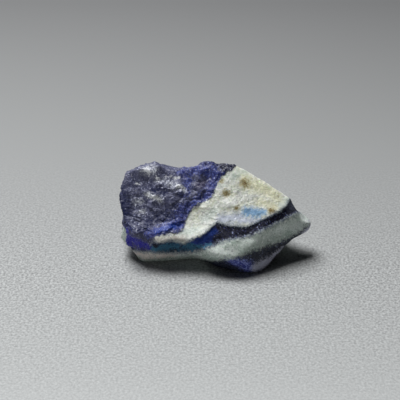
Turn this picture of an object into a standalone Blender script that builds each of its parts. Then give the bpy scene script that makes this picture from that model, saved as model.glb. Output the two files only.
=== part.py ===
"""Rough afghanite: one broken lump of blue afghanite and white marble, 26 mm long.

The lump lies along X. Its broad sloping faces look towards -Y and up, the front toe points to -Y,
and the flat break underneath rests on z = 0, with the origin under the middle of the lump.
Lengths are in millimetres up to the last step, which writes the mesh in metres.
"""

import bmesh
import bpy
import numpy as np

NAME = "rough_afghanite"

# Driving sizes, in millimetres
LENGTH = 26.1
HEART_HEIGHT = 5.6
SPINE_MIDDLE = np.array((-0.3, 1.6, 4.4))
SPINE_HALF_LENGTH = 8.0
TRIANGLES = 8000
METRE = 0.001

# Fracture planes. Each break is a flat face of the lump: the way it faces, as degrees round from +X
# and degrees up from level, and its distance from the heart, the point inside that all are measured from.
HEART = np.array((0.0, 0.0, HEART_HEIGHT))
UPPER_BREAKS = {
    "dark front": (-94.1, 48.2, 2.25),
    "white front": (-62.1, 59.7, 3.96),
}
EDGE_BREAKS = {
    "lower front": (-84.0, -26.0, 4.25),
    "lower left": (-122.0, -4.0, 7.95),
    "white edge": (-45.4, 0.6, 6.97),
    "under front left": (-122.9, -37.9, 10.12),
}
SHELF_BREAKS = {
    "shelf": (-73.6, 53.2, 3.01),
}
TOE_BREAKS = {
    "toe front": (-84.7, 38.0, 4.02),
    "toe under": (-88.0, -12.0, 7.25),
    "pale ledge": (-98.0, 52.0, 2.12),
    "toe left under": (-112.0, -33.0, 6.04),
    "toe left end": (-150.0, -10.0, 4.73),
    "toe right": (-55.5, 7.7, 6.83),
    "under right": (0.7, -60.8, 8.18),
}
OUTER_BREAKS = {
    "left end low": (176.1, -8.6, 13.24),
    "left end": (178.1, 11.2, 13.13),
    "left front": (-151.9, 3.2, 11.34),
    "shoulder steep": (173.7, 40.2, 13.36),
    "shoulder top": (151.4, 74.5, 8.56),
    "back top": (84.6, 40.6, 6.90),
    "back": (95.0, -8.0, 6.30),
    "back right": (56.1, 23.8, 6.94),
    "right end": (4.0, 12.7, 11.03),
    "back left": (140.0, 4.0, 12.30),
    "back under": (75.0, -48.0, 7.00),
    "back under right": (30.0, -40.0, 8.60),
    "under left": (178.2, -35.6, 11.76),
}

# How far neighbouring breaks round into each other
BREAK_ROUNDING = 0.2
TOE_ROUNDING = 0.4
BROW_ROUNDING = 0.5
SHELF_ROUNDING = 0.7
OUTER_ROUNDING = 0.4
SHELF_DROP = 0.05

# Lumps that stand out: centre, three half widths, and how widely each runs into the stone
BOSSES = {
    "right nub": ((10.47, 0.43, 4.06), (2.62, 1.54, 1.66), 1.2),
    "left flake": ((-11.82, -0.05, 3.05), (1.08, 1.79, 1.20), 1.0),
    "shoulder bump": ((-9.10, 3.65, 10.40), (2.40, 1.50, 1.10), 0.6),
    "frosted ridge": ((-6.40, 1.70, 9.43), (2.30, 0.80, 0.70), 0.4),
    "peak chip": ((-0.57, 2.84, 10.81), (1.60, 0.80, 0.50), 0.3),
    "brow knuckle": ((-10.10, -2.40, 4.40), (1.80, 0.90, 1.10), 0.5),
    "toe swell": ((2.67, -4.16, 3.46), (3.00, 1.20, 1.40), 0.6),
    "back swell": ((4.20, 5.00, 5.20), (3.20, 2.20, 2.20), 0.8),
}

# Conchoidal hollows, each struck by a ball: the point struck, the way the face looks there, in degrees,
# the ball's radius, the hollow's depth, and how softly its rim is rounded
HOLLOWS = {
    "saddle": ((-4.87, 4.00, 11.51), (90, 60), 5.41, 0.81, 0.50),
    "left notch": ((-13.00, 0.88, 4.90), (180, 0), 3.14, 0.59, 0.50),
    "dark hollow": ((-9.80, -0.40, 7.70), (-98, 42), 9.0, 0.50, 0.25),
    "inner hollow": ((-7.70, -1.30, 7.00), (-98, 45), 5.5, 0.50, 0.25),
    "purple hollow": ((-1.70, 1.35, 9.95), (-93, 49), 3.6, 0.18, 0.25),
    "boundary hollow": ((-3.60, -2.20, 6.40), (-94, 48), 7.0, 0.22, 0.25),
    "right hollow": ((5.40, -0.60, 8.30), (-78, 55), 14.0, 0.25, 0.40),
    "toe scar": ((7.60, -3.40, 3.40), (-55, 8), 6.0, 0.18, 0.25),
    "under scar": ((8.60, 2.40, 2.60), (20, -55), 5.0, 0.40, 0.30),
    "left scar": ((-12.60, 3.60, 7.50), (165, 15), 5.5, 0.50, 0.30),
    "back hollow": ((-4.50, 6.20, 6.50), (96, 5), 8.0, 0.90, 0.30),
    "back scar": ((5.00, 5.30, 7.20), (60, 24), 7.0, 0.60, 0.30),
    "back left scar": ((-9.00, 6.00, 6.20), (125, 5), 6.0, 0.45, 0.30),
    "base hollow": ((-5.20, 0.60, 0.00), (0, -90), 7.0, 0.45, 0.25),
    "toe base hollow": ((3.60, 1.60, 0.00), (0, -90), 6.0, 0.40, 0.25),
}

# Small random chips struck from the whole surface
CHIP_SEED = 41
CHIP_COUNT = 150
CHIP_RADIUS = (2.4, 6.5)
CHIP_DEPTH = (0.07, 0.26)
CHIP_RIM = 0.25
WHITE_CHIP_SHARE = 0.4
WHITE_STARTS = (-1.5, 2.5)

# Roughness: width of the lumps and how far they stand, coarse to fine
ROUGH_SEED = 7
ROUGH_CELLS = 40
ROUGHNESS = ((3.4, 0.14), (1.7, 0.10), (0.9, 0.06))

SEARCH_STEPS = 24
SEARCH_REACH = 9.0
SLOPE_STEP = 0.05
FLAT_SNAP = 0.03

STONE_COLOUR = (0.17, 0.19, 0.26, 1.0)
STONE_ROUGHNESS = 0.55


def facing(round_degrees, up_degrees):
    """The unit vector of a compass angle and an angle up from level."""
    turn, rise = np.radians(round_degrees), np.radians(up_degrees)
    return np.array((np.cos(rise) * np.cos(turn), np.cos(rise) * np.sin(turn), np.sin(rise)))


def larger(a, b, width):
    """The larger of two distances, rounded where they are within a width of each other."""
    share = np.clip(0.5 + 0.5 * (a - b) / width, 0, 1)
    return b + share * (a - b) + width * share * (1 - share)


def smaller(a, b, width):
    """The smaller of two distances, rounded in the same way."""
    return -larger(-a, -b, width)


def breaks_depth(points, breaks, rounding):
    """How far points lie outside a set of fracture planes: the largest of their distances, rounded."""
    angles = np.array(list(breaks.values()))
    normals = np.array([facing(turn, rise) for turn, rise, _ in angles])
    depths = (points - HEART) @ normals.T - angles[:, 2]
    largest = depths.max(axis=-1, keepdims=True)
    spread = np.exp((depths - largest) / rounding).sum(axis=-1)
    return largest[..., 0] + rounding * np.log(spread)


def boss_depth(points, centre, half_widths):
    """How far points lie outside an ellipsoid."""
    scaled = (points - np.array(centre)) / np.array(half_widths)
    length = np.linalg.norm(scaled, axis=-1)
    steepness = np.linalg.norm(scaled / np.array(half_widths), axis=-1)
    return (length - 1) * length / np.maximum(steepness, 1e-6)


def form_depth(points):
    """How far points lie outside the lump before its small chips are struck."""
    upper = breaks_depth(points, UPPER_BREAKS, BREAK_ROUNDING)
    slab = larger(upper, breaks_depth(points, EDGE_BREAKS, BREAK_ROUNDING), BROW_ROUNDING)
    shelf = breaks_depth(points, SHELF_BREAKS, BREAK_ROUNDING)
    toe = larger(shelf, breaks_depth(points, TOE_BREAKS, TOE_ROUNDING), BROW_ROUNDING)
    toe = larger(toe, upper + SHELF_DROP, BREAK_ROUNDING)
    lump = smaller(slab, toe, SHELF_ROUNDING)
    lump = larger(lump, breaks_depth(points, OUTER_BREAKS, BREAK_ROUNDING), OUTER_ROUNDING)
    for centre, half_widths, spread in BOSSES.values():
        lump = smaller(lump, boss_depth(points, centre, half_widths), spread)
    for struck, looks, radius, depth, rim in HOLLOWS.values():
        centre = np.array(struck) + facing(*looks) * (radius - depth)
        lump = larger(lump, radius - np.linalg.norm(points - centre, axis=-1), rim)
    return lump


def spine_starts(directions):
    """Where each direction's ray starts, on a straight spine inside the lump."""
    starts = np.tile(SPINE_MIDDLE, (len(directions), 1))
    starts[:, 0] += SPINE_HALF_LENGTH * directions[:, 0]
    return starts


def reach_of(starts, directions):
    """How far the surface lies along each ray, found by halving the interval."""
    near = np.zeros(len(directions))
    far = np.full(len(directions), SEARCH_REACH)
    for _ in range(SEARCH_STEPS):
        middle = (near + far) / 2
        outside = form_depth(starts + directions * middle[:, None]) > 0
        far = np.where(outside, middle, far)
        near = np.where(outside, near, middle)
    return near


def small_chips():
    """Balls that strike the chips: each is set over a random point of the surface, a little into it."""
    random = np.random.default_rng(CHIP_SEED)
    directions = random.normal(size=(CHIP_COUNT, 3))
    directions /= np.linalg.norm(directions, axis=1, keepdims=True)
    starts = spine_starts(directions)
    struck = starts + directions * reach_of(starts, directions)[:, None]
    steps = SLOPE_STEP * np.eye(3)
    slopes = np.stack([form_depth(struck + step) - form_depth(struck - step) for step in steps], axis=1)
    normals = slopes / np.linalg.norm(slopes, axis=1, keepdims=True)
    radii = random.uniform(*CHIP_RADIUS, CHIP_COUNT)
    depths = random.uniform(*CHIP_DEPTH, CHIP_COUNT)
    white = np.clip((struck[:, 0] - WHITE_STARTS[0]) / (WHITE_STARTS[1] - WHITE_STARTS[0]), 0, 1)
    depths *= 1 - white * (1 - WHITE_CHIP_SHARE)
    return struck + normals * (radii - depths)[:, None], radii


def chip_away(starts, directions, reach):
    """The reach cut back to the near side of each chip's ball, where the ray meets it."""
    for centre, radius in zip(*small_chips()):
        offset = centre - starts
        along = (directions * offset).sum(axis=1)
        square = along**2 - (offset**2).sum(axis=1) + radius**2
        entry = along - np.sqrt(np.maximum(square, 0))
        ahead = (square > 0) & (entry > 0)
        reach = smaller(reach, np.where(ahead, entry, SEARCH_REACH), CHIP_RIM)
    return reach


def lattice_noise(points, width, table):
    """Smooth noise from -1 to 1: random values on a cubic lattice, eased from corner to corner."""
    scaled = points / width
    cell = np.floor(scaled).astype(int)
    part = scaled - cell
    part = part * part * (3 - 2 * part)
    total = np.zeros(len(points))
    for corner in np.ndindex(2, 2, 2):
        index = (cell + corner) % ROUGH_CELLS
        weight = np.where(corner, part, 1 - part).prod(axis=1)
        total += weight * table[index[:, 0], index[:, 1], index[:, 2]]
    return total


def roughened(points, directions):
    """The points moved along their directions by several widths of lattice noise."""
    random = np.random.default_rng(ROUGH_SEED)
    table = random.uniform(-1, 1, (ROUGH_CELLS,) * 3)
    lift = sum(height * lattice_noise(points, width, table) for width, height in ROUGHNESS)
    return points + directions * lift[:, None]


def rested(points, directions):
    """The points below the floor drawn back along their rays to z = 0, which makes the flat break."""
    fall = np.minimum(points[:, 2], 0) / np.minimum(directions[:, 2], -1e-3)
    return points - directions * fall[:, None]


def stone_surface(directions):
    """The lump's surface point for each direction of a round ball."""
    starts = spine_starts(directions)
    reach = chip_away(starts, directions, reach_of(starts, directions))
    points = roughened(starts + directions * reach[:, None], directions)
    return rested(points, directions)


def mesh_points(mesh):
    """A mesh's vertex positions as an array."""
    points = np.empty(len(mesh.vertices) * 3)
    mesh.vertices.foreach_get("co", points)
    return points.reshape(-1, 3)


def stone_material():
    """Weathered blue and white stone, dull with a slight sheen."""
    material = bpy.data.materials.new("stone")
    material.use_nodes = True
    surface = material.node_tree.nodes["Principled BSDF"]
    surface.inputs["Base Color"].default_value = STONE_COLOUR
    surface.inputs["Roughness"].default_value = STONE_ROUGHNESS
    surface.inputs["Metallic"].default_value = 0.0
    return material


def round_ball():
    """A fine ball of triangles, whose points are moved to the lump's surface."""
    cage = bmesh.new()
    bmesh.ops.create_icosphere(cage, subdivisions=6, radius=1.0)
    ball = bpy.data.meshes.new("ball")
    cage.to_mesh(ball)
    cage.free()
    return ball


def thinned(mesh, collection):
    """A copy of the mesh with its flattest triangles merged, down to the wanted number."""
    source = bpy.data.objects.new("stone_source", mesh)
    collection.objects.link(source)
    decimate = source.modifiers.new("Thin", "DECIMATE")
    decimate.ratio = TRIANGLES / len(mesh.polygons)
    source_seen = source.evaluated_get(bpy.context.evaluated_depsgraph_get())
    result = bpy.data.meshes.new_from_object(source_seen)
    bpy.data.objects.remove(source)
    return result


def settled(points):
    """The points scaled to the lump's length and centred, with the flat break exactly at z = 0."""
    points[points[:, 2] < FLAT_SNAP, 2] = 0
    low, high = points.min(axis=0), points.max(axis=0)
    middle = np.array(((low[0] + high[0]) / 2, (low[1] + high[1]) / 2, 0))
    return (points - middle) * LENGTH / (high[0] - low[0])


def build():
    for old in list(bpy.data.objects):
        bpy.data.objects.remove(old, do_unlink=True)
    collection = bpy.data.collections.new(NAME)
    bpy.context.scene.collection.children.link(collection)

    ball = round_ball()
    ball.vertices.foreach_set("co", stone_surface(mesh_points(ball)).ravel())
    ball.update()
    mesh = thinned(ball, collection)
    mesh.name = NAME
    mesh.vertices.foreach_set("co", (settled(mesh_points(mesh)) * METRE).ravel())
    mesh.materials.append(stone_material())
    mesh.update()

    stone = bpy.data.objects.new(NAME, mesh)
    collection.objects.link(stone)


build()
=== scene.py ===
"""Rough afghanite: a broken lump of blue afghanite and white marble, on a pale floor under soft light."""

import math
from types import SimpleNamespace

import bpy
import numpy as np
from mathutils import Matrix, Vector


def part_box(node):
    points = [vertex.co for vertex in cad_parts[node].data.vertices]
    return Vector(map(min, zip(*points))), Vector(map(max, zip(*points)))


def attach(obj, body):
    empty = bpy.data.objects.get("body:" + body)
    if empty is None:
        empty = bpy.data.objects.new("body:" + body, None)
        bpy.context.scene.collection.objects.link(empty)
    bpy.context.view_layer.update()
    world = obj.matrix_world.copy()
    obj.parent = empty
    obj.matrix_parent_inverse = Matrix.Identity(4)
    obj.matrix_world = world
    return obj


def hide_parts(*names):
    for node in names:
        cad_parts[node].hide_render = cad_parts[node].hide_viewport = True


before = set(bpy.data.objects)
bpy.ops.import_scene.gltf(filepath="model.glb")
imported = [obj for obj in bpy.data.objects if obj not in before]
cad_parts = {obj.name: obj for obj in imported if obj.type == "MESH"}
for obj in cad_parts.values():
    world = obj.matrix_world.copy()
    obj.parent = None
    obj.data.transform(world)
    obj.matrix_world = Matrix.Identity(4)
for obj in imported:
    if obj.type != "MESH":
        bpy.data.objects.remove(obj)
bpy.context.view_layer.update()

# The stone's form. Afghanite and marble grew together as one rock, broken all round: flat breaks,
# a shelf and a toe in front, lumps that stand out, and conchoidal hollows where blows took flakes off.
# It is the part's own form, worked out in millimetres and then laid in the part's frame.
SPINE_MIDDLE = np.array((-0.3, 1.6, 4.4))
SPINE_HALF_LENGTH = 8.0
HEART = np.array((0.0, 0.0, 5.6))
UPPER_BREAKS = {
    "dark front": (-94.1, 48.2, 2.25),
    "white front": (-62.1, 59.7, 3.96),
}
EDGE_BREAKS = {
    "lower front": (-84.0, -26.0, 4.25),
    "lower left": (-122.0, -4.0, 7.95),
    "white edge": (-45.4, 0.6, 6.97),
    "under front left": (-122.9, -37.9, 10.12),
}
SHELF_BREAKS = {
    "shelf": (-73.6, 53.2, 3.01),
}
TOE_BREAKS = {
    "toe front": (-84.7, 38.0, 4.02),
    "toe under": (-88.0, -12.0, 7.25),
    "pale ledge": (-98.0, 52.0, 2.12),
    "toe left under": (-112.0, -33.0, 6.04),
    "toe left end": (-150.0, -10.0, 4.73),
    "toe right": (-55.5, 7.7, 6.83),
    "under right": (0.7, -60.8, 8.18),
}
OUTER_BREAKS = {
    "left end low": (176.1, -8.6, 13.24),
    "left end": (178.1, 11.2, 13.13),
    "left front": (-151.9, 3.2, 11.34),
    "shoulder steep": (173.7, 40.2, 13.36),
    "shoulder top": (151.4, 74.5, 8.56),
    "back top": (84.6, 40.6, 6.90),
    "back": (95.0, -8.0, 6.30),
    "back right": (56.1, 23.8, 6.94),
    "right end": (4.0, 12.7, 11.03),
    "back left": (140.0, 4.0, 12.30),
    "back under": (75.0, -48.0, 7.00),
    "back under right": (30.0, -40.0, 8.60),
    "under left": (178.2, -35.6, 11.76),
}
BREAK_ROUNDING = 0.2
TOE_ROUNDING = 0.4
BROW_ROUNDING = 0.5
SHELF_ROUNDING = 0.7
OUTER_ROUNDING = 0.4
SHELF_DROP = 0.05
BOSSES = {
    "right nub": ((10.47, 0.43, 4.06), (2.62, 1.54, 1.66), 1.2),
    "left flake": ((-11.82, -0.05, 3.05), (1.08, 1.79, 1.20), 1.0),
    "shoulder bump": ((-9.10, 3.65, 10.40), (2.40, 1.50, 1.10), 0.6),
    "frosted ridge": ((-6.40, 1.70, 9.43), (2.30, 0.80, 0.70), 0.4),
    "peak chip": ((-0.57, 2.84, 10.81), (1.60, 0.80, 0.50), 0.3),
    "brow knuckle": ((-10.10, -2.40, 4.40), (1.80, 0.90, 1.10), 0.5),
    "toe swell": ((2.67, -4.16, 3.46), (3.00, 1.20, 1.40), 0.6),
    "back swell": ((4.20, 5.00, 5.20), (3.20, 2.20, 2.20), 0.8),
}
HOLLOWS = {
    "saddle": ((-4.87, 4.00, 11.51), (90, 60), 5.41, 0.81, 0.50),
    "left notch": ((-13.00, 0.88, 4.90), (180, 0), 3.14, 0.59, 0.50),
    "dark hollow": ((-9.80, -0.40, 7.70), (-98, 42), 9.0, 0.50, 0.25),
    "inner hollow": ((-7.70, -1.30, 7.00), (-98, 45), 5.5, 0.50, 0.25),
    "purple hollow": ((-1.70, 1.35, 9.95), (-93, 49), 3.6, 0.18, 0.25),
    "boundary hollow": ((-3.60, -2.20, 6.40), (-94, 48), 7.0, 0.22, 0.25),
    "right hollow": ((5.40, -0.60, 8.30), (-78, 55), 14.0, 0.25, 0.40),
    "toe scar": ((7.60, -3.40, 3.40), (-55, 8), 6.0, 0.18, 0.25),
    "under scar": ((8.60, 2.40, 2.60), (20, -55), 5.0, 0.40, 0.30),
    "left scar": ((-12.60, 3.60, 7.50), (165, 15), 5.5, 0.50, 0.30),
    "back hollow": ((-4.50, 6.20, 6.50), (96, 5), 8.0, 0.90, 0.30),
    "back scar": ((5.00, 5.30, 7.20), (60, 24), 7.0, 0.60, 0.30),
    "back left scar": ((-9.00, 6.00, 6.20), (125, 5), 6.0, 0.45, 0.30),
    "base hollow": ((-5.20, 0.60, 0.00), (0, -90), 7.0, 0.45, 0.25),
    "toe base hollow": ((3.60, 1.60, 0.00), (0, -90), 6.0, 0.40, 0.25),
}
CHIP_SEED = 41
CHIP_COUNT = 150
CHIP_RADIUS = (2.4, 6.5)
CHIP_DEPTH = (0.07, 0.26)
CHIP_RIM = 0.25
WHITE_CHIP_SHARE = 0.4
WHITE_STARTS = (-1.5, 2.5)
ROUGH_SEED = 7
ROUGH_CELLS = 40
ROUGHNESS = ((3.4, 0.14), (1.7, 0.10), (0.9, 0.06))
SEARCH_STEPS = 24
SEARCH_REACH = 9.0
SLOPE_STEP = 0.05


def facing(round_degrees, up_degrees):
    """The unit vector of a compass angle and an angle up from level."""
    turn, rise = np.radians(round_degrees), np.radians(up_degrees)
    return np.array((np.cos(rise) * np.cos(turn), np.cos(rise) * np.sin(turn), np.sin(rise)))


def larger(a, b, width):
    """The larger of two distances, rounded by a parabola where they are within a width."""
    share = np.clip(0.5 + 0.5 * (a - b) / width, 0, 1)
    return b + share * (a - b) + width * share * (1 - share)


def smaller(a, b, width):
    """The smaller of two distances, rounded in the same way."""
    return -larger(-a, -b, width)


def breaks_depth(points, breaks, rounding):
    """How far points lie outside a set of planes: rounding x log of the sum of exp(distance / rounding)."""
    angles = np.array(list(breaks.values()))
    normals = np.array([facing(turn, rise) for turn, rise, _ in angles])
    depths = (points - HEART) @ normals.T - angles[:, 2]
    largest = depths.max(axis=-1, keepdims=True)
    spread = np.exp((depths - largest) / rounding).sum(axis=-1)
    return largest[..., 0] + rounding * np.log(spread)


def boss_depth(points, centre, half_widths):
    """How far points lie outside an ellipsoid: (r - 1) x r / length of r's slope, r the scaled radius."""
    scaled = (points - np.array(centre)) / np.array(half_widths)
    length = np.linalg.norm(scaled, axis=-1)
    steepness = np.linalg.norm(scaled / np.array(half_widths), axis=-1)
    return (length - 1) * length / np.maximum(steepness, 1e-6)


def form_depth(points):
    """How far points lie outside the lump: slab and toe joined, ends cut, bosses added, hollows cut."""
    upper = breaks_depth(points, UPPER_BREAKS, BREAK_ROUNDING)
    slab = larger(upper, breaks_depth(points, EDGE_BREAKS, BREAK_ROUNDING), BROW_ROUNDING)
    shelf = breaks_depth(points, SHELF_BREAKS, BREAK_ROUNDING)
    toe = larger(shelf, breaks_depth(points, TOE_BREAKS, TOE_ROUNDING), BROW_ROUNDING)
    toe = larger(toe, upper + SHELF_DROP, BREAK_ROUNDING)
    lump = smaller(slab, toe, SHELF_ROUNDING)
    lump = larger(lump, breaks_depth(points, OUTER_BREAKS, BREAK_ROUNDING), OUTER_ROUNDING)
    for centre, half_widths, spread in BOSSES.values():
        lump = smaller(lump, boss_depth(points, centre, half_widths), spread)
    for struck, looks, radius, depth, rim in HOLLOWS.values():
        centre = np.array(struck) + facing(*looks) * (radius - depth)
        lump = larger(lump, radius - np.linalg.norm(points - centre, axis=-1), rim)
    return lump


def spine_starts(directions):
    """Where each direction's ray starts: the spine's middle, moved along X by the direction's X x 8 mm."""
    starts = np.tile(SPINE_MIDDLE, (len(directions), 1))
    starts[:, 0] += SPINE_HALF_LENGTH * directions[:, 0]
    return starts


def reach_of(starts, directions):
    """How far the surface lies along each ray, found by halving the interval."""
    near = np.zeros(len(directions))
    far = np.full(len(directions), SEARCH_REACH)
    for _ in range(SEARCH_STEPS):
        middle = (near + far) / 2
        outside = form_depth(starts + directions * middle[:, None]) > 0
        far = np.where(outside, middle, far)
        near = np.where(outside, near, middle)
    return near


def small_chips():
    """Balls that strike the small chips: each over a random point of the surface, a little into it."""
    random = np.random.default_rng(CHIP_SEED)
    directions = random.normal(size=(CHIP_COUNT, 3))
    directions /= np.linalg.norm(directions, axis=1, keepdims=True)
    starts = spine_starts(directions)
    struck = starts + directions * reach_of(starts, directions)[:, None]
    steps = SLOPE_STEP * np.eye(3)
    slopes = np.stack([form_depth(struck + step) - form_depth(struck - step) for step in steps], axis=1)
    normals = slopes / np.linalg.norm(slopes, axis=1, keepdims=True)
    radii = random.uniform(*CHIP_RADIUS, CHIP_COUNT)
    depths = random.uniform(*CHIP_DEPTH, CHIP_COUNT)
    white = np.clip((struck[:, 0] - WHITE_STARTS[0]) / (WHITE_STARTS[1] - WHITE_STARTS[0]), 0, 1)
    depths *= 1 - white * (1 - WHITE_CHIP_SHARE)
    return struck + normals * (radii - depths)[:, None], radii


def chip_away(starts, directions, reach):
    """The reach cut back to the near side of each chip's ball, where the ray meets it."""
    for centre, radius in zip(*small_chips()):
        offset = centre - starts
        along = (directions * offset).sum(axis=1)
        square = along**2 - (offset**2).sum(axis=1) + radius**2
        entry = along - np.sqrt(np.maximum(square, 0))
        ahead = (square > 0) & (entry > 0)
        reach = smaller(reach, np.where(ahead, entry, SEARCH_REACH), CHIP_RIM)
    return reach


def lattice_noise(points, width, table):
    """Smooth noise from -1 to 1: random values on a cubic lattice, eased from corner to corner."""
    scaled = points / width
    cell = np.floor(scaled).astype(int)
    part = scaled - cell
    part = part * part * (3 - 2 * part)
    total = np.zeros(len(points))
    for corner in np.ndindex(2, 2, 2):
        index = (cell + corner) % len(table)
        weight = np.where(corner, part, 1 - part).prod(axis=1)
        total += weight * table[index[:, 0], index[:, 1], index[:, 2]]
    return total


# The stone's fine surface. Six curved patches of a ball are laid over the form, close enough to carry
# the crystal facets of the marble, the hackly breaks of the afghanite and the step between the two.
ALONG_CELLS = 190
ROUND_CELLS = 102
FINE_SEED = 23
FINE_CELLS = 64
FLOOR_SNAP = 0.03


def ball_patch(axis, side, rows, columns):
    """One of six patches of a ball: the tangents of equal angles across a cube's side, made unit."""
    first, second = [other for other in range(3) if other != axis]
    across = np.tan(np.linspace(-math.pi / 4, math.pi / 4, rows + 1))
    along = np.tan(np.linspace(-math.pi / 4, math.pi / 4, columns + 1))
    grid = np.empty((rows + 1, columns + 1, 3))
    grid[..., axis] = side
    grid[..., first] = across[:, None]
    grid[..., second] = along[None, :]
    return grid / np.linalg.norm(grid, axis=-1, keepdims=True)


def whole_ball():
    """Directions and four-sided faces of a closed ball: its six patches with the shared edges merged."""
    directions, faces, start = [], [], 0
    for axis in range(3):
        for side in (-1.0, 1.0):
            rows = ROUND_CELLS if axis == 0 else ALONG_CELLS
            grid = ball_patch(axis, side, rows, ROUND_CELLS)
            numbers = start + np.arange(grid.shape[0] * grid.shape[1]).reshape(grid.shape[:2])
            corners = (numbers[:-1, :-1], numbers[1:, :-1], numbers[1:, 1:], numbers[:-1, 1:])
            quads = np.stack(corners, axis=-1)
            outward = side * (-1) ** axis > 0
            faces.append((quads if outward else quads[..., ::-1]).reshape(-1, 4))
            directions.append(grid.reshape(-1, 3))
            start += numbers.size
    directions, faces = np.concatenate(directions), np.concatenate(faces)
    _, kept, merged = np.unique(np.round(directions, 7), axis=0, return_index=True, return_inverse=True)
    return directions[kept], merged.reshape(-1)[faces]


def crystal_cells(points, width, table):
    """The nearest crystal centre, one to a lattice cube: the offset from it and its own three numbers."""
    scaled = points / width
    cell = np.floor(scaled).astype(int)
    nearest = np.full(len(points), np.inf)
    offset = np.zeros_like(points)
    own = np.zeros_like(points)
    for step in np.ndindex(3, 3, 3):
        cube = cell + step - 1
        index = cube % len(table)
        numbers = table[index[:, 0], index[:, 1], index[:, 2]]
        away = scaled - cube - numbers[:, :3]
        distance = (away**2).sum(axis=1)
        closer = distance < nearest
        nearest = np.where(closer, distance, nearest)
        offset[closer] = away[closer] * width
        own[closer] = numbers[closer, 3:]
    return offset, own


def eased(value, low, high):
    """0 below low and 1 above high, with a smooth step between: 3 t^2 - 2 t^3."""
    t = np.clip((value - low) / (high - low), 0, 1)
    return t * t * (3 - 2 * t)


# Colour bands. The rock is layered, and its layers run back through the stone from the sloping front.
# Each band's edge is a line across a sheet tilted as the front is: along X and up the sheet, in mm.
SHEET_SLOPE = math.radians(32.0)
SHEET_HEIGHT = 5.5
BLUE_EDGE = np.array((
    (-16.0, -2.5), (-12.6, -2.7), (-12.0, -3.9), (-11.0, -4.5), (-8.9, -4.6), (-8.4, -3.3), (-8.0, -2.6),
    (-6.6, -2.4), (-5.0, -2.3), (-4.4, -1.85), (-4.0, -0.5), (-3.2, 1.0), (-2.1, 1.8), (-0.3, 2.7),
    (0.2, 4.3), (0.9, 5.4), (2.7, 6.8), (4.5, 9.5), (9.0, 14.0),
))
VEIN_TOP = np.array((
    (-16.0, -4.1), (-9.2, -4.2), (-8.3, -3.5), (-6.9, -3.6), (-5.9, -3.3), (-5.1, -3.6), (-4.1, -3.8),
    (-3.1, -3.1), (-2.0, -2.6), (-1.1, -2.0), (-0.4, -1.2), (0.2, -0.8), (1.3, -1.2), (4.0, -1.5),
    (6.1, -0.6), (9.0, 0.8), (9.9, 1.6), (10.5, 3.0), (12.0, 5.5),
))
VEIN_FOOT = np.array((
    (-16.0, -4.3), (-8.9, -4.6), (-6.2, -4.8), (-3.4, -4.6), (-1.9, -4.2), (-0.4, -3.6), (1.4, -2.9),
    (4.6, -2.4), (7.6, -1.0), (9.4, -0.1), (11.0, 0.6), (14.0, 1.5),
))
LOW_TOP = np.array((
    (-16.0, -9.0), (-5.0, -7.5), (-2.8, -6.0), (0.9, -5.6), (2.3, -5.5), (5.0, -4.4), (7.6, -3.6),
    (10.5, -2.6), (11.6, -1.8), (12.6, -1.1), (14.0, 2.0),
))
WAVER_WIDTHS = (2.6, 1.1)
WAVER_HEIGHTS = (0.10, 0.06)
WAVER_BEHIND = 0.14
WAVER_SHIFT = 37.0
VEIN_UNDER_BLUE = 0.6
FLAKE_EDGE = 1.5

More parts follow.
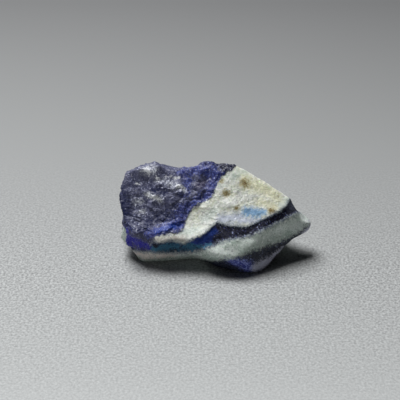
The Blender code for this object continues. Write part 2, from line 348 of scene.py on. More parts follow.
# Patches within the bands. Each is one or more streaks along the surface, each given by its two end
# points and its radius, in millimetres of the form.
PATCHES = {
    "azure": (
        ((-8.8, -3.4, 5.0), (-6.9, -2.9, 5.6), 0.8), ((-6.9, -2.9, 5.6), (-4.8, -2.5, 5.9), 0.9),
        ((-4.8, -2.3, 6.1), (-4.1, -1.0, 7.4), 0.95),
        ((-3.7, -1.2, 7.4), (-0.6, 0.4, 9.1), 0.9), ((-0.6, 0.8, 9.4), (0.3, 1.9, 10.4), 0.9),
        ((-4.4, 2.8, 11.0), (-0.5, 3.0, 11.3), 0.9), ((-4.1, 0.6, 9.2), (-3.9, 1.9, 10.3), 0.8),
        ((-1.0, 2.6, 11.0), (0.4, 2.1, 10.7), 0.7), ((2.2, -6.1, 2.2), (4.4, -6.0, 1.5), 1.1),
        ((3.8, -6.0, 1.0), (5.0, -5.6, 0.9), 0.9),
        ((-6.2, -4.5, 4.0), (-3.8, -4.2, 3.9), 0.6), ((-3.4, -4.3, 4.0), (-1.2, -4.3, 4.7), 0.9),
        ((-1.2, -4.0, 5.1), (-0.2, -3.7, 5.6), 0.6),
        ((-3.6, 5.0, 9.4), (1.5, 5.6, 8.2), 1.3), ((-12.2, 2.4, 6.8), (-11.0, 4.6, 5.0), 1.0),
        ((-2.0, 6.6, 4.4), (1.0, 6.4, 3.4), 1.1),
    ),
    "ultramarine": (
        ((-12.0, -2.0, 4.2), (-11.6, -2.1, 3.0), 1.1), ((-11.2, -2.5, 3.6), (-10.0, -3.0, 3.0), 1.1),
        ((-10.0, -3.2, 2.9), (-8.8, -3.7, 3.0), 0.8),
        ((-9.8, 5.6, 3.4), (-7.0, 6.4, 3.0), 1.4),
    ),
    "plum": (
        ((-1.9, 1.4, 9.7), (-1.4, 1.6, 9.8), 1.1),
        ((-3.0, -0.4, 8.2), (-1.8, -0.1, 8.5), 0.7), ((-6.0, 6.4, 8.2), (-5.0, 6.5, 7.2), 1.2),
    ),
    # Painted sheen: a grey-white veil where the up-facing afghanite catches the lamp.
    "frosty_sheen": (
        ((-9.4, 3.0, 11.2), (-8.6, 2.9, 11.1), 1.4), ((-7.9, 2.0, 10.3), (-6.6, 1.7, 10.2), 0.8),
        ((-6.6, 1.7, 10.2), (-5.0, 1.1, 9.7), 1.1), ((-5.0, 1.1, 9.7), (-4.2, 0.7, 9.2), 0.7),
        ((-9.3, 0.9, 8.6), (-7.4, 0.2, 8.1), 0.7), ((-9.9, -0.65, 6.8), (-9.6, -0.6, 6.8), 0.6),
        ((-10.7, 0.1, 7.8), (-10.0, 0.2, 7.9), 0.8), ((-11.0, 4.6, 8.6), (-10.2, 5.2, 7.6), 1.0),
    ),
    # Darker, bluer slate: partly its own colour, partly painted shade in the crescent under the ledge and at
    # the lower left.
    "deep_shade": (
        ((-12.6, 1.4, 8.4), (-12.0, -1.0, 6.0), 1.0), ((-11.2, -2.2, 5.6), (-9.0, -3.0, 5.2), 1.0),
        ((-9.0, -2.4, 5.8), (-5.6, -1.6, 6.8), 1.5), ((-8.8, 1.2, 9.2), (-6.6, 0.4, 8.8), 0.6),
    ),
    # Painted highlights: near-white spots on the tops of the lumps and ridges that face the lamp.
    "bright": (
        ((-9.3, 2.9, 11.2), (-9.0, 2.7, 11.0), 0.6), ((-7.9, 2.2, 10.4), (-7.0, 1.6, 10.1), 0.38),
        ((-6.9, 2.5, 10.5), (-4.9, 2.3, 10.3), 0.28), ((-5.1, 1.2, 9.7), (-4.5, 1.0, 9.3), 0.50),
        ((-9.1, 0.8, 8.5), (-7.5, 0.2, 8.1), 0.40), ((-10.6, 1.9, 9.6), (-10.3, 1.9, 9.6), 0.3),
        ((-12.3, 0.9, 8.0), (-12.1, 0.9, 8.0), 0.25),
    ),
    "cobalt": (
        ((-7.8, -3.1, 5.3), (-6.0, -2.7, 5.7), 0.55), ((-6.0, -2.7, 5.7), (-4.8, -2.5, 5.9), 0.55),
        ((-0.9, -3.6, 5.5), (0.2, -3.3, 5.8), 0.5), ((-4.3, -2.6, 6.2), (-4.1, -2.2, 6.6), 0.4),
    ),
    "calm": (
        ((0.6, 2.9, 11.2), (3.4, 3.2, 11.3), 1.8), ((2.4, 2.4, 10.6), (3.0, 2.6, 10.7), 0.8),
    ),
    "sky": (
        ((4.2, -1.5, 7.4), (5.6, -1.7, 7.2), 1.05), ((5.4, -1.6, 7.3), (6.4, -1.5, 7.3), 0.75),
        ((2.4, 5.6, 6.4), (4.4, 6.2, 5.6), 0.9),
    ),
    "ochre": (
        ((3.9, 1.6, 9.93), (4.1, 1.6, 9.95), 0.85), ((1.4, 0.35, 9.12), (1.5, 0.35, 9.15), 0.75),
        ((7.35, -1.3, 7.4), (7.7, -1.4, 7.3), 0.7), ((0.76, 1.57, 10.29), (0.9, 1.6, 10.3), 0.45),
        ((2.76, -1.35, 7.81), (2.9, -1.3, 7.8), 0.5),
        ((6.4, 4.6, 6.9), (6.8, 4.7, 6.6), 0.7),
    ),
    "teal": (
        ((-9.4, -3.5, 2.6), (-6.8, -3.9, 2.6), 0.8), ((-6.8, -3.9, 2.6), (-3.4, -4.0, 2.7), 1.2),
        ((-3.4, -4.3, 3.1), (-0.8, -4.8, 3.8), 0.55),
    ),
    "glassy": (
        ((11.2, -0.4, 4.9), (12.4, 0.3, 4.4), 1.9), ((-12.9, -1.2, 4.0), (-12.6, -0.6, 2.8), 1.1),
    ),
    "rosy": (
        ((-11.0, -2.2, 1.6), (-8.8, -3.4, 1.6), 1.3), ((-8.8, -3.5, 1.6), (-6.0, -3.5, 1.6), 1.1),
    ),
    "even": (
        ((3.6, -4.7, 4.9), (7.2, -3.1, 5.2), 1.2),
    ),
    # A warm grey on the low lobe of white under the dark slab: partly a buff colour, partly painted shade
    # where the lobe turns down.
    "buff_shade": (
        ((-8.0, -4.4, 4.2), (-4.5, -4.2, 4.4), 1.0),
    ),
    # A cool lilac grey along the white's lower edge over the vein: partly its colour, partly painted shade
    # where the edge rounds over.
    "lilac_shade": (
        ((0.8, -2.4, 6.8), (3.2, -2.2, 6.9), 1.2), ((3.2, -2.6, 6.6), (6.4, -2.6, 6.6), 0.8),
        ((-3.6, -0.9, 7.8), (-2.6, -0.2, 8.4), 0.6),
    ),
    "thin": (
        ((-1.6, -2.4, 6.8), (-0.2, -1.6, 7.4), 0.9), ((-4.6, -3.4, 5.4), (-2.6, -3.2, 5.6), 1.0),
        ((2.6, 2.2, 10.6), (4.4, 3.0, 11.0), 0.9), ((8.6, -0.6, 7.6), (9.8, 0.4, 7.8), 1.0),
    ),
    "honey": (
        ((4.2, 1.9, 10.2), (8.4, 0.6, 8.6), 1.6), ((6.0, -0.4, 8.3), (8.0, -0.8, 7.8), 1.1),
    ),
    "milky": (
        ((-1.6, -4.6, 3.8), (2.2, -5.6, 3.6), 1.3), ((-6.0, -3.3, 1.5), (-2.4, -3.2, 1.4), 1.5),
        ((8.4, -2.9, 5.0), (10.6, -1.5, 5.2), 1.0),
    ),
    "dusky": (
        ((10.3, 0.6, 7.4), (9.6, 1.2, 8.3), 1.3), ((5.4, -5.2, 0.8), (7.6, -4.0, 1.0), 0.95),
        ((8.0, -3.6, 1.6), (9.4, -2.6, 2.0), 0.5), ((12.4, -0.5, 3.4), (13.0, 0.6, 4.2), 0.8),
    ),
}


def sheet_place(points):
    """Points laid on the tilted sheet: X, and Y x sine + height x cosine of its slope."""
    up = points[:, 1] * math.sin(SHEET_SLOPE) + (points[:, 2] - SHEET_HEIGHT) * math.cos(SHEET_SLOPE)
    return np.stack((points[:, 0], up), axis=1)


def above_edge(place, edge):
    """How far places on the sheet lie above an edge line: the distance to it, negative below."""
    nearest = np.full(len(place), np.inf)
    for start, end in zip(edge[:-1], edge[1:]):
        along = end - start
        share = np.clip((place - start) @ along / (along @ along), 0, 1)
        nearest = np.minimum(nearest, np.linalg.norm(place - start - share[:, None] * along, axis=1))
    return np.where(place[:, 1] > np.interp(place[:, 0], edge[:, 0], edge[:, 1]), nearest, -nearest)


def patch_strength(points, streaks):
    """1 on the middle line of the nearest streak, falling to 0 at its radius and on below it to -1."""
    strength = np.full(len(points), -1.0)
    for start, end, radius in streaks:
        start, along = np.array(start), np.array(end) - np.array(start)
        share = np.clip((points - start) @ along / (along @ along), 0, 1)
        distance = np.linalg.norm(points - start - share[:, None] * along, axis=1)
        strength = np.maximum(strength, 1 - distance / radius)
    return strength


def band_fields(points, table):
    """Each band's and patch's field at each point: millimetres inside a band, strength of a patch."""
    level = points[:, 1] * math.cos(SHEET_SLOPE)
    behind = np.maximum(level - (points[:, 2] - SHEET_HEIGHT) * math.sin(SHEET_SLOPE), 0)
    place = sheet_place(points)
    for column in range(2):
        for width, height in zip(WAVER_WIDTHS, WAVER_HEIGHTS):
            strength = height + WAVER_BEHIND * behind * width / WAVER_WIDTHS[0]
            shifted = points + WAVER_SHIFT * (column + 1)
            place[:, column] += strength * lattice_noise(shifted, width, table)
    patches = {name: patch_strength(points, streaks) for name, streaks in PATCHES.items()}
    flake = patches["glassy"] * FLAKE_EDGE
    blue = np.minimum(above_edge(place, BLUE_EDGE), -flake)
    over_foot = above_edge(place, VEIN_FOOT)
    between = np.minimum(-above_edge(place, VEIN_TOP), over_foot)
    bands = {
        "blue": blue,
        "vein": np.minimum(between, VEIN_UNDER_BLUE - blue),
        "low": -above_edge(place, LOW_TOP),
        "pale": np.maximum(-over_foot, flake),
    }
    return bands | patches


# Fine relief. The afghanite breaks with a hackly face in steps and ridges, the marble in small bright
# crystal facets, and the vein is softer, so it weathers back; the blue stands a little above the white.
BLUE_STEP = 0.10
BLUE_RISE = (-0.08, 0.12)
VEIN_RECESS = 0.16
VEIN_FALL = (-0.15, 0.2)
PALE_SMOOTH = 0.5
PALE_RISE = (0.0, 0.8)
GLASSY_SMOOTH = 0.92
GLASSY_RISE = (0.0, 0.4)
HACKLE = ((1.4, 0.12, 0.36), (0.66, 0.08, 0.40))
HACKLE_NOISE = ((0.5, 0.050), (0.22, 0.035))
SUGAR = ((0.62, 0.020, 0.12), (0.34, 0.018, 0.20))
SUGAR_NOISE = ((0.9, 0.018), (0.22, 0.012))


def faceted(points, layers, table):
    """Relief of tilted facets: each cell's own height, plus its own tilt x the offset from its centre."""
    lift = np.zeros(len(points))
    for width, height, tilt in layers:
        offset, own = crystal_cells(points, width, table)
        lift += height * (own[:, 0] - 0.5) + tilt * (offset * (own - 0.5)).sum(axis=1)
    return lift


def fine_relief(points, fields, table):
    """How far each point is lifted: hackle on the blue, sugar on the marble, less where it is glassy."""
    noise_table = table[..., 0] * 2 - 1
    blue = eased(fields["blue"], *BLUE_RISE)
    vein = eased(fields["vein"], *VEIN_FALL)
    pale = eased(fields["pale"], *PALE_RISE) * PALE_SMOOTH
    smooth = np.maximum(pale, eased(fields["glassy"], *GLASSY_RISE) * GLASSY_SMOOTH)
    hackle = faceted(points, HACKLE, table)
    hackle += sum(height * lattice_noise(points, width, noise_table) for width, height in HACKLE_NOISE)
    sugar = faceted(points, SUGAR, table)
    sugar += sum(height * lattice_noise(points, width, noise_table) for width, height in SUGAR_NOISE)
    return blue * (hackle + BLUE_STEP) + (1 - blue) * (1 - smooth) * sugar - VEIN_RECESS * vein * (1 - blue)


def laid(points, low, high):
    """Form points, in millimetres, laid in the part's frame, in metres, by the boxes of the two."""
    box_low, box_high = (np.array(corner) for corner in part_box("rough_afghanite"))
    scale = (box_high[0] - box_low[0]) / (high[0] - low[0])
    middle = np.array(((low[0] + high[0]) / 2, (low[1] + high[1]) / 2, 0))
    box_middle = (box_low + box_high) / 2
    box_middle[2] = box_low[2]
    return (points - middle) * scale + box_middle


def rested(points, directions):
    """The points below the floor drawn back along their rays to height 0, which makes the flat break."""
    fall = np.minimum(points[:, 2], 0) / np.minimum(directions[:, 2], -1e-3)
    return points - directions * fall[:, None]


def stone_mesh():
    """The stone's mesh, with its fields as attributes, and the two end corners of its plain form."""
    directions, faces = whole_ball()
    starts = spine_starts(directions)
    reach = chip_away(starts, directions, reach_of(starts, directions))
    rough_table = np.random.default_rng(ROUGH_SEED).uniform(-1, 1, (ROUGH_CELLS,) * 3)
    plain = starts + directions * reach[:, None]
    lift = sum(height * lattice_noise(plain, width, rough_table) for width, height in ROUGHNESS)
    plain = plain + directions * lift[:, None]
    form = rested(plain, directions)
    low, high = form.min(axis=0), form.max(axis=0)

    table = np.random.default_rng(FINE_SEED).uniform(0, 1, (FINE_CELLS, FINE_CELLS, FINE_CELLS, 6))
    fields = band_fields(plain, rough_table)
    points = rested(plain + directions * fine_relief(plain, fields, table)[:, None], directions)
    points[points[:, 2] < FLOOR_SNAP, 2] = 0

    mesh = bpy.data.meshes.new("rough_stone")
    mesh.from_pydata(laid(points, low, high).tolist(), [], faces.tolist())
    mesh.shade_smooth()
    for name, values in fields.items():
        layer = mesh.attributes.new(name, "FLOAT", "POINT")
        layer.data.foreach_set("value", values.astype(np.float32))
    return mesh, low, high


# The stone's finish. Slate-blue afghanite with azure and ultramarine streaks, with painted sheen, painted
# highlights and painted glints where its crystals face the lamp, lies on white sugary marble with a dark
# vein; lower down the marble turns pale green and glassy. Some streaks on both stones also carry painted
# shade.
BAND_LOOKS = {
    "pale": (0.8, 0.0, (-0.1, 0.5)),
    "vein": (1.2, 0.7, (-0.15, 0.15)),
    "low": (1.8, 1.2, (-0.3, 0.4)),
    "blue": (1.0, 0.6, (-0.16, 0.16)),
}
STAIN_EDGE = (-0.60, 0.05)
MILLIMETRES = 1000.0
CLOUD_WAVES = 0.55
RAGGED_WAVES = 2.2
GRAIN_WAVES = 5.5
STREAK_WAVES = 2.6
STREAK_STRETCH = (1.0, 0.45, 0.45)
FLECK_CELLS = 5.6
SUGAR_CELLS = 3.2
CRYSTAL_TILT = 0.21
BUMP_STRENGTH = 0.7
BUMP_DISTANCE = 0.00006
STONE_ROUGHNESS = 0.70
MARBLE_GLOW = 0.45
GLOW_COLOUR = (1.0, 1.1, 1.0)
GLOW_DEPTH = 0.0012


def tint(red, green, blue):
    """A colour given as 0 to 255 for a screen, as linear numbers: ((c + 0.055) / 1.055) ^ 2.4."""
    shares = np.array((red, green, blue)) / 255
    linear = np.where(shares <= 0.04045, shares / 12.92, ((shares + 0.055) / 1.055) ** 2.4)
    return (*linear.tolist(), 1.0)


def add(tree, kind, inputs=None, **settings):
    """A shader node with its settings; an input is a number, a colour or another node's output."""
    made = tree.nodes.new("ShaderNode" + kind)
    for name, value in settings.items():
        setattr(made, name, value)
    for name, value in (inputs or {}).items():
        if isinstance(value, bpy.types.NodeSocket):
            tree.links.new(value, made.inputs[name])
        else:
            made.inputs[name].default_value = value
    return made


def summed(tree, *terms):
    """The sum of several outputs, each given with the number it is multiplied by."""
    total = 0.0
    for value, factor in terms:
        total = add(tree, "Math", {0: value, 1: factor, 2: total}, operation="MULTIPLY_ADD").outputs[0]
    return total


def noise(tree, place, scale, detail, roughness, shift=0.0):
    """Cloudy noise about 0, with its scale in waves to a unit of the place."""
    moved = add(tree, "VectorMath", {0: place, 1: (shift, shift, shift)}).outputs[0]
    sizes = {"Vector": moved, "Scale": scale, "Detail": detail, "Roughness": roughness}
    cloud = add(tree, "TexNoise", sizes).outputs["Fac"]
    return add(tree, "Math", {0: cloud, 1: 0.5}, operation="SUBTRACT").outputs[0]


def crystals(tree, place, scale):
    """Crystal cells with their own random colour, with their scale in cells to a unit of the place."""
    return add(tree, "TexVoronoi", {"Vector": place, "Scale": scale}, feature="F1").outputs["Color"]


def part_of(tree, colour, channel):
    """One channel of a colour, as a number."""
    return add(tree, "SeparateColor", {"Color": colour}).outputs[channel]


def stepped(tree, value, low, high):
    """0 at low and 1 at high, with a smooth step between; low may be the larger, for a fall."""
    limits = {"Value": value, "From Min": low, "From Max": high}
    return add(tree, "MapRange", limits, interpolation_type="SMOOTHSTEP").outputs["Result"]


def above(tree, low, high, *terms):
    """The smooth step from low to high of a sum of outputs."""
    return stepped(tree, summed(tree, *terms), low, high)


def over(tree, share, below, coat):
    """One colour laid over another by a share."""
    mixed = add(tree, "Mix", data_type="RGBA")
    for name, value in (("Factor_Float", share), ("A_Color", below), ("B_Color", coat)):
        socket = next(one for one in mixed.inputs if one.identifier == name)
        if isinstance(value, bpy.types.NodeSocket):
            tree.links.new(value, socket)
        else:
            socket.default_value = value
    return next(one for one in mixed.outputs if one.identifier == "Result_Color")


def layered(tree, colour, *coats):
    """A colour with coats laid over it in turn, each given as its share and its own colour."""
    for share, coat in coats:
        colour = over(tree, share, colour, coat)
    return colour


def stone_marks(tree):
    """What breaks up the stone's colours: cloud, ragged and streaky noise, grain, two sizes of crystal."""
    object_place = add(tree, "TexCoord").outputs["Object"]
    place = add(tree, "VectorMath", {0: object_place, "Scale": MILLIMETRES}, operation="SCALE").outputs[0]
    drawn_out = add(tree, "VectorMath", {0: place, 1: STREAK_STRETCH}, operation="MULTIPLY").outputs[0]
    marks = SimpleNamespace(
        cloud=noise(tree, place, CLOUD_WAVES, 3.0, 0.6),
        ragged=noise(tree, place, RAGGED_WAVES, 5.0, 0.72, 11.0),
        grain=noise(tree, place, GRAIN_WAVES, 3.0, 0.75, 23.0),
        streaky=noise(tree, drawn_out, STREAK_WAVES, 4.0, 0.75, 5.0),
        fleck=crystals(tree, place, FLECK_CELLS),
        sugar=crystals(tree, place, SUGAR_CELLS),
    )
    marks.fleck_one = part_of(tree, marks.fleck, 0)
    marks.fleck_two = part_of(tree, marks.fleck, 1)
    marks.sugar_one = part_of(tree, marks.sugar, 0)
    marks.fray = summed(tree, (marks.ragged, 1.2), (marks.grain, 1.1), (marks.fleck_two, 0.5))
    return marks


def field(tree, name):
    """A band's or a patch's field, as the mesh carries it."""
    return add(tree, "Attribute", attribute_name=name).outputs["Fac"]


def patch(tree, marks, name, low, high, fraying=1.0):
    """A patch's share: its strength with the marks' fray added, stepped from low to high."""
    return above(tree, low, high, (marks.fray, fraying), (field(tree, name), 1.0))


def band(tree, marks, name, edge=None):
    """A band's share: its field, plus ragged noise and grain by its own amounts, stepped across its edge."""
    ragged, grain, own_edge = BAND_LOOKS[name]
    noises = ((marks.ragged, ragged), (marks.grain, grain))
    return above(tree, *(edge or own_edge), (field(tree, name), 1.0), *noises)


def white_marble(tree, marks):
    """White marble: bright sugary grains, yellower here and there, greyer and greener where it is thin, with
    painted shade on its lower edges.
    """
    return layered(
        tree,
        over(tree, stepped(tree, marks.cloud, -0.18, 0.18), tint(236, 240, 236), tint(233, 236, 216)),
        (above(tree, 0.55, 0.95, (marks.sugar_one, 1.0), (marks.grain, 0.8)), tint(244, 247, 241)),
        (above(tree, 0.74, 1.15, (marks.fleck_one, 1.0), (marks.grain, 1.0)), tint(206, 216, 207)),
        (patch(tree, marks, "thin", 0.0, 1.2, 0.7), tint(208, 219, 211)),
        (patch(tree, marks, "honey", 0.0, 1.2, 0.7), tint(230, 230, 200)),
        # Lilac grey on the white's lower edge, partly painted shade where it rounds over.
        (patch(tree, marks, "lilac_shade", 0.1, 1.2, 0.7), tint(194, 202, 218)),
        # Warm grey on the low white lobe, partly painted shade where it turns down.
        (patch(tree, marks, "buff_shade", 0.1, 1.1), tint(204, 198, 190)),
        (patch(tree, marks, "ochre", 0.1, 1.1), tint(184, 174, 128)),
        (patch(tree, marks, "ochre", 0.6, 1.4), tint(126, 106, 60)),
        (patch(tree, marks, "sky", 0.1, 1.0, 0.8), tint(136, 176, 212)),
    )


def pale_marble(tree, marks):
    """Pale green marble under the vein: clouded, rosy at the foot, clearer in the flakes at both ends."""
    return layered(
        tree,
        over(tree, stepped(tree, marks.cloud, -0.2, 0.2), tint(176, 194, 184), tint(206, 218, 210)),
        (patch(tree, marks, "milky", 0.1, 1.0), tint(236, 246, 240)),
        (patch(tree, marks, "even", 0.0, 1.0, 0.8), tint(218, 228, 222)),
        (patch(tree, marks, "rosy", -0.1, 0.7, 0.7), tint(242, 232, 224)),
        (patch(tree, marks, "glassy", 0.0, 0.9, 0.7), tint(226, 235, 231)),
        (above(tree, 0.02, 0.50, (marks.ragged, 1.0), (marks.cloud, 0.6)), tint(140, 154, 146)),
        (above(tree, 0.75, 1.3, (marks.sugar_one, 1.0), (marks.grain, 1.0)), tint(240, 247, 242)),
        (above(tree, 0.75, 1.3, (marks.fleck_one, 1.0), (marks.grain, 1.0)), tint(136, 152, 144)),
        # Painted glints: a few crystals made near white where they would flash in the lamp.
        (above(tree, 0.90, 1.02, (marks.fleck_two, 1.0), (marks.grain, 0.4)), tint(248, 252, 248)),
    )


def dark_vein(tree, marks):
    """The dark vein: navy with lit crystals, azure and teal at its left end."""
    lit = above(tree, 0.72, 1.05, (marks.fleck_one, 1.0), (marks.grain, 0.9))
    return layered(
        tree,
        over(tree, lit, tint(5, 9, 38), tint(34, 42, 100)),
        # Painted glints on the vein's crystals.
        (above(tree, 0.92, 1.02, (marks.fleck_two, 1.0), (marks.grain, 0.4)), tint(150, 160, 196)),
        (patch(tree, marks, "azure", 0.0, 0.9), tint(16, 52, 136)),
        (patch(tree, marks, "teal", 0.0, 0.9), tint(62, 118, 150)),
        (patch(tree, marks, "dusky", 0.0, 0.9), tint(60, 66, 84)),
    )


def low_band(tree, marks):
    """The low dark band: near black with lit crystals, azure at its corner and grey on its last face."""
    lit = above(tree, 0.75, 1.1, (marks.fleck_one, 1.0), (marks.grain, 1.0))
    lit_azure = above(tree, 0.4, 0.9, (marks.fleck_one, 1.0), (marks.grain, 1.2))
    azure = over(tree, lit_azure, tint(54, 64, 154), tint(146, 158, 225))
    return layered(
        tree,
        over(tree, lit, tint(32, 37, 58), tint(112, 120, 146)),
        (patch(tree, marks, "azure", 0.1, 1.0), azure),
        (patch(tree, marks, "dusky", 0.1, 1.0), tint(196, 198, 216)),
    )


def slate_afghanite(tree, marks):
    """Slate-blue afghanite, with darker pits and pale flecks, then its streaks, some partly painted shade,
    and painted sheen, highlights and glints.
    """
    streaks = (marks.streaky, 1.2)
    lit = above(tree, 0.3, 0.9, (marks.fleck_one, 1.0), (marks.grain, 1.4))
    azure = over(tree, lit, tint(44, 50, 116), tint(92, 104, 172))
    azure = over(tree, above(tree, 0.0, 0.45, streaks, (marks.grain, 0.8)), azure, tint(36, 52, 156))
    return layered(
        tree,
        over(tree, stepped(tree, marks.cloud, -0.2, 0.2), tint(70, 73, 106), tint(98, 101, 130)),
        (above(tree, 0.05, -0.35, (marks.grain, 1.0), (marks.streaky, 1.4)), tint(44, 46, 72)),
        (above(tree, 0.12, 0.42, (marks.grain, 0.6), streaks), tint(124, 127, 152)),
        (above(tree, 0.80, 1.10, (marks.fleck_one, 1.0), (marks.grain, 1.0)), tint(160, 164, 190)),
        # Darker, bluer slate, partly painted shade under the ledge and at the lower left.
        (patch(tree, marks, "deep_shade", -0.1, 1.0), tint(46, 52, 92)),
        (patch(tree, marks, "plum", 0.2, 1.2), tint(62, 58, 92)),
        (patch(tree, marks, "calm", -0.1, 0.4, 0.6), tint(24, 28, 60)),
        (patch(tree, marks, "azure", -0.05, 0.9, 1.3), azure),
        (patch(tree, marks, "cobalt", 0.1, 1.0, 1.2), tint(24, 60, 156)),
        (patch(tree, marks, "ultramarine", 0.1, 0.9, 1.2), tint(42, 36, 176)),
        # Painted sheen: a grey-white veil, whiter at its core, where the up-facing afghanite catches the
        # lamp.
        (patch(tree, marks, "frosty_sheen", 0.05, 1.3, 0.7), tint(144, 148, 166)),
        (patch(tree, marks, "frosty_sheen", 0.75, 1.45, 1.3), tint(214, 218, 228)),
        # Painted highlights on the tops of the lumps and ridges.
        (patch(tree, marks, "bright", 0.35, 1.0, 1.2), tint(236, 239, 244)),
        # Painted glints on the afghanite's crystals.
        (above(tree, 0.92, 1.05, (marks.fleck_two, 1.0), (marks.grain, 0.5)), tint(170, 176, 204)),
    )


def crystal_normal(tree, marks):
    """The surface's normal tilted by each crystal's own random colour less its mean, with fine bumps."""
    tilt = add(tree, "VectorMath", {0: marks.fleck, 1: marks.sugar}).outputs[0]
    tilt = add(tree, "VectorMath", {0: tilt, 1: (1.0, 1.0, 1.0)}, operation="SUBTRACT").outputs[0]
    tilt = add(tree, "VectorMath", {0: tilt, "Scale": CRYSTAL_TILT}, operation="SCALE").outputs[0]
    level = add(tree, "NewGeometry").outputs["Normal"]
    facets = add(tree, "VectorMath", {0: level, 1: tilt}).outputs[0]
    facets = add(tree, "VectorMath", {0: facets}, operation="NORMALIZE").outputs[0]
    steps = ((marks.fleck_one, 0.6), (marks.sugar_one, 0.5))
    height = summed(tree, *steps, (marks.grain, 1.4), (marks.ragged, 1.0))
    bumps = {"Strength": BUMP_STRENGTH, "Distance": BUMP_DISTANCE, "Height": height, "Normal": facets}
    return add(tree, "Bump", bumps).outputs["Normal"]


def stone_finish():
    """Bands and patches by the mesh's own fields, their edges made ragged, with grain and painted glints."""
    material = bpy.data.materials.new("afghanite_in_marble")
    material.use_nodes = True
    tree = material.node_tree
    surface = tree.nodes["Principled BSDF"]
    marks = stone_marks(tree)

    vein_share = band(tree, marks, "vein")
    blue_share = band(tree, marks, "blue")
    colour = layered(
        tree,
        white_marble(tree, marks),
        (band(tree, marks, "pale"), pale_marble(tree, marks)),
        (band(tree, marks, "vein", STAIN_EDGE), tint(112, 124, 140)),
        (vein_share, dark_vein(tree, marks)),
        (band(tree, marks, "low"), low_band(tree, marks)),
        (blue_share, slate_afghanite(tree, marks)),
    )
    tree.links.new(colour, surface.inputs["Base Color"])

    dulling = ((marks.grain, 0.4), (vein_share, 0.30))
    rough = summed(tree, (marks.fleck_one, -0.55), (blue_share, -0.06), *dulling)
    rough = add(tree, "Math", {0: rough, 1: STONE_ROUGHNESS}, operation="ADD", use_clamp=True)
    tree.links.new(rough.outputs[0], surface.inputs["Roughness"])
    tree.links.new(crystal_normal(tree, marks), surface.inputs["Normal"])
    fading_glow = {0: blue_share, 1: -MARBLE_GLOW, 2: MARBLE_GLOW}
    glow = add(tree, "Math", fading_glow, operation="MULTIPLY_ADD").outputs[0]
    tree.links.new(glow, surface.inputs["Subsurface Weight"])
    surface.inputs["Subsurface Radius"].default_value = GLOW_COLOUR
    surface.inputs["Subsurface Scale"].default_value = GLOW_DEPTH
    return material


mesh, form_low, form_high = stone_mesh()
stone = bpy.data.objects.new("rough_stone", mesh)
bpy.context.scene.collection.objects.link(stone)
mesh.materials.append(stone_finish())
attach(stone, "root")
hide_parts("rough_afghanite")

# Floor: a plain pale sheet that the stone stands on. It is very finely grained, most clearly beside the
# stone, and darkens towards the back, where less light falls.
FLOOR_PALE = (202, 205, 205)
FLOOR_DARK = (112, 113, 114)
FLOOR_ROUGHNESS = 0.7
FLOOR_SIZE = 3.0
FLOOR_DROP = 0.00002
FLOOR_FADE = (-0.030, 0.090)
FLOOR_FADE_POWER = 0.7
FLOOR_GRAIN_WAVES = 3200.0
FLOOR_GRAIN = 3.0
FLOOR_DUST = 0.22
FLOOR_CRISP_AT = -0.006
FLOOR_CRISP_TO = 0.034


def ranged(tree, value, start, end):
    """0 at the start and 1 at the end, in a straight line between."""
    return add(tree, "MapRange", {"Value": value, "From Min": start, "From Max": end}).outputs["Result"]


def floor_finish():
    """Pale grey, mixed with dark grey by: nearness x (grain x crispness + dust) + distance."""
    material = bpy.data.materials.new("pale_floor")
    material.use_nodes = True
    tree = material.node_tree
    surface = tree.nodes["Principled BSDF"]
    place = add(tree, "TexCoord").outputs["Object"]
    away = add(tree, "SeparateXYZ", {0: place}).outputs["Y"]
    faded = ranged(tree, away, *FLOOR_FADE)
    faded = add(tree, "Math", {0: faded, 1: FLOOR_FADE_POWER}, operation="POWER").outputs[0]
    nearness = add(tree, "Math", {0: 1.0, 1: faded}, operation="SUBTRACT").outputs[0]
    beside = add(tree, "Math", {0: away, 1: FLOOR_CRISP_AT}, operation="SUBTRACT").outputs[0]
    beside = add(tree, "Math", {0: beside}, operation="ABSOLUTE").outputs[0]
    grain = noise(tree, place, FLOOR_GRAIN_WAVES, 2.0, 0.6)
    for strength in (ranged(tree, beside, FLOOR_CRISP_TO, 0.0), FLOOR_GRAIN):
        grain = add(tree, "Math", {0: grain, 1: strength}, operation="MULTIPLY").outputs[0]
    shade = summed(tree, (nearness, grain), (nearness, FLOOR_DUST), (faded, 1.0))
    colour = over(tree, shade, tint(*FLOOR_PALE), tint(*FLOOR_DARK))
    tree.links.new(colour, surface.inputs["Base Color"])
    surface.inputs["Roughness"].default_value = FLOOR_ROUGHNESS
    return material


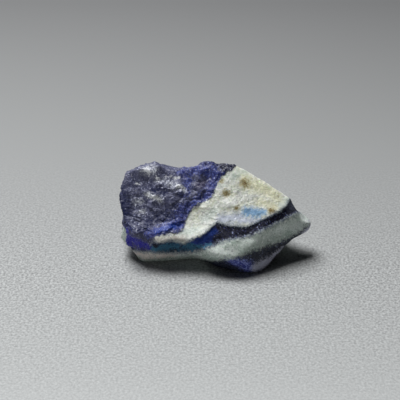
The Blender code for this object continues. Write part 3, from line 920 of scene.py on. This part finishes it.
half = FLOOR_SIZE / 2
corners = [(x * half, y * half, -FLOOR_DROP) for x, y in ((-1, -1), (1, -1), (1, 1), (-1, 1))]
floor_mesh = bpy.data.meshes.new("floor")
floor_mesh.from_pydata(corners, [], [(0, 1, 2, 3)])
floor_mesh.materials.append(floor_finish())
floor = bpy.data.objects.new("floor", floor_mesh)
bpy.context.scene.collection.objects.link(floor)

# Light: one broad soft lamp above and behind to the left, a weak one low down in front, which reaches
# the steep front faces and leaves the shadow dark, and a dim even sky. Each lamp is given as its place
# and width in metres and its power in watts.
LAMPS = {
    "overhead_lamp": ((-0.09, 0.12, 0.29), 0.16, 1.40),
    "front_lamp": ((-0.16, -0.42, 0.03), 0.05, 0.12),
}
LAMP_AIM = (0.0, 0.0, 0.005)
SKY_COLOUR = (225, 228, 235)
SKY_STRENGTH = 0.012


def soft_lamp(name, place, size, power):
    """A square area lamp at a place, turned to face the middle of the stone."""
    lamp = bpy.data.lights.new(name, "AREA")
    lamp.shape = "SQUARE"
    lamp.size = size
    lamp.energy = power
    holder = bpy.data.objects.new(name, lamp)
    holder.location = place
    ray = np.array(LAMP_AIM) - np.array(place)
    across = math.hypot(ray[0], ray[1])
    holder.rotation_euler = (math.atan2(across, -ray[2]), 0, math.atan2(ray[1], ray[0]) - math.pi / 2)
    bpy.context.scene.collection.objects.link(holder)


for lamp_name, lamp_values in LAMPS.items():
    soft_lamp(lamp_name, *lamp_values)
world = bpy.data.worlds.new("even_sky")
bpy.context.scene.world = world
world.use_nodes = True
sky = world.node_tree.nodes["Background"]
sky.inputs["Color"].default_value = tint(*SKY_COLOUR)
sky.inputs["Strength"].default_value = SKY_STRENGTH
bpy.context.scene.view_settings.view_transform = "Standard"

# Camera: a long lens in front of the stone, looking down on it at the slope of the sheet that the bands
# are drawn on. Its place is given in millimetres of the form, and its lens and sensor in millimetres.
CAMERA_AT = np.array((-2.08, -127.38, 87.83))
CAMERA_LENS = 100.0
CAMERA_SENSOR = 36.0
camera_data = bpy.data.cameras.new("camera")
camera_data.lens = CAMERA_LENS
camera_data.sensor_width = CAMERA_SENSOR
camera = bpy.data.objects.new("camera", camera_data)
camera.location = laid(CAMERA_AT[None, :], form_low, form_high)[0]
camera.rotation_euler = (math.pi / 2 - SHEET_SLOPE, 0, 0)
bpy.context.scene.collection.objects.link(camera)
bpy.context.scene.camera = camera
